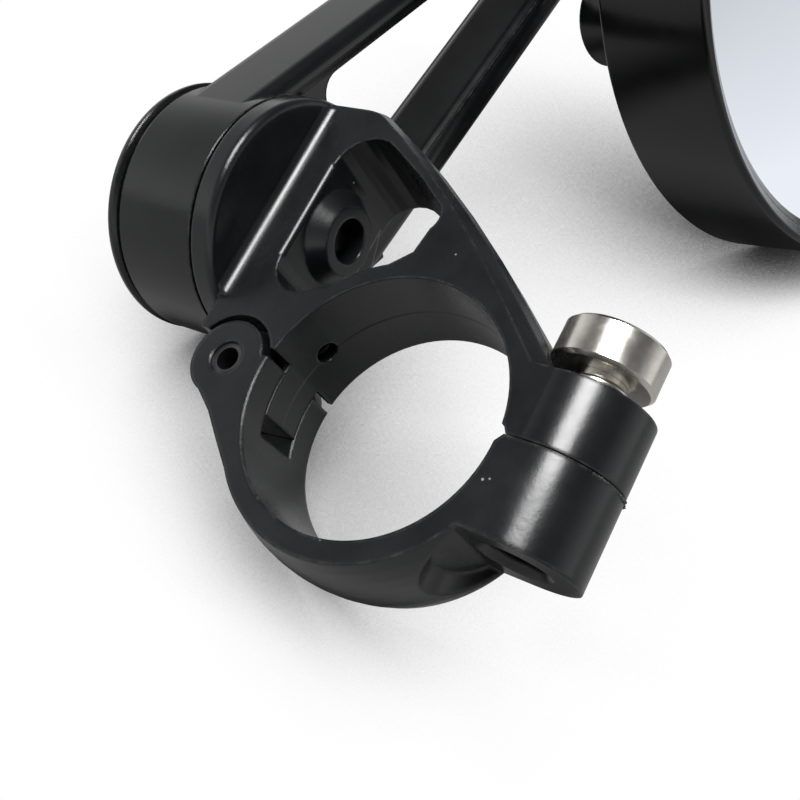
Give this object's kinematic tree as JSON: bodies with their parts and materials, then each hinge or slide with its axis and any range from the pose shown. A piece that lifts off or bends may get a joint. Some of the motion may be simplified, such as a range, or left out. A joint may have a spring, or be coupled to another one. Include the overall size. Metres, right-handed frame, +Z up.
{
  "type": "bar end mirror",
  "caption": "Round motorcycle bar end mirror on a triangular cast arm, pivoting on a drum and held to the bar by a hinged split clamp with one screw.",
  "frame": {"origin": "centre of the bar bore, halfway across the clamp's width", "axes": "+X along the bar, outboard; +Y from the clamp to the drum cap, away from the mirror's face; +Z up, towards the arm's tip"},
  "size_m": [0.0889, 0.0558, 0.1414],
  "materials": {
    "clamp_black": "satin black, cast grain, worn edges",
    "arm_black": "satin black",
    "housing_black": "satin black",
    "screw_steel": "bright plated",
    "steel": "plain",
    "bush_brass": "turned",
    "pale_plastic": "moulded",
    "seal_rubber": "matt",
    "pad_foam": "matt",
    "mirror_glass": "silvered glass"
  },
  "bodies": {
    "clamp": {"clamp_body": "clamp_black", "pivot_bolt": "steel", "thrust_washer": "steel", "disc_spring": "steel", "friction_washer": "pale_plastic"},
    "jaw": {"clamp_jaw": "clamp_black", "hinge_pin": "steel"},
    "screw": {"clamp_screw": "screw_steel"},
    "arm": {"arm": "arm_black", "pivot_bush": "bush_brass", "end_cap": "arm_black", "cap_seal": "seal_rubber"},
    "stud": {"ball_stud": "steel", "stud_washer": "steel", "stud_nut": "steel"},
    "seat": {"ball_seat": "pale_plastic"},
    "head": {"mirror_housing": "housing_black", "socket_cap": "housing_black", "cap_screws": "steel", "glass_pad": "pad_foam", "mirror_glass": "mirror_glass", "bezel_ring": "housing_black"}
  },
  "joints": [
    {"name": "jaw_hinge", "type": "hinge", "parent": "clamp", "child": "jaw", "pos_m": [0, 0.0152, -0.0003], "axis": [1, 0, 0], "range_deg": [0, 60]},
    {"name": "screw_travel", "type": "slide", "parent": "clamp", "child": "screw", "axis": [0, 0, 1], "range_m": [-0.002, 0.004]},
    {"name": "arm_pivot", "type": "hinge", "parent": "clamp", "child": "arm", "pos_m": [0, 0.0267, 0.0153], "axis": [0, 1, 0], "continuous": true},
    {"name": "stud_spin", "type": "hinge", "parent": "arm", "child": "stud", "pos_m": [0.0258, 0.0129, 0.1053], "axis": [0, 1, 0], "continuous": true},
    {"name": "seat_turn", "type": "hinge", "parent": "stud", "child": "seat", "pos_m": [0.0258, 0.0129, 0.1053], "axis": [0, 0, 1], "range_deg": [-6, 40]},
    {"name": "head_nod", "type": "hinge", "parent": "seat", "child": "head", "pos_m": [0.0258, 0.0129, 0.1053], "axis": [0.9659, -0.2588, 0], "range_deg": [-20, 2]}
  ]
}
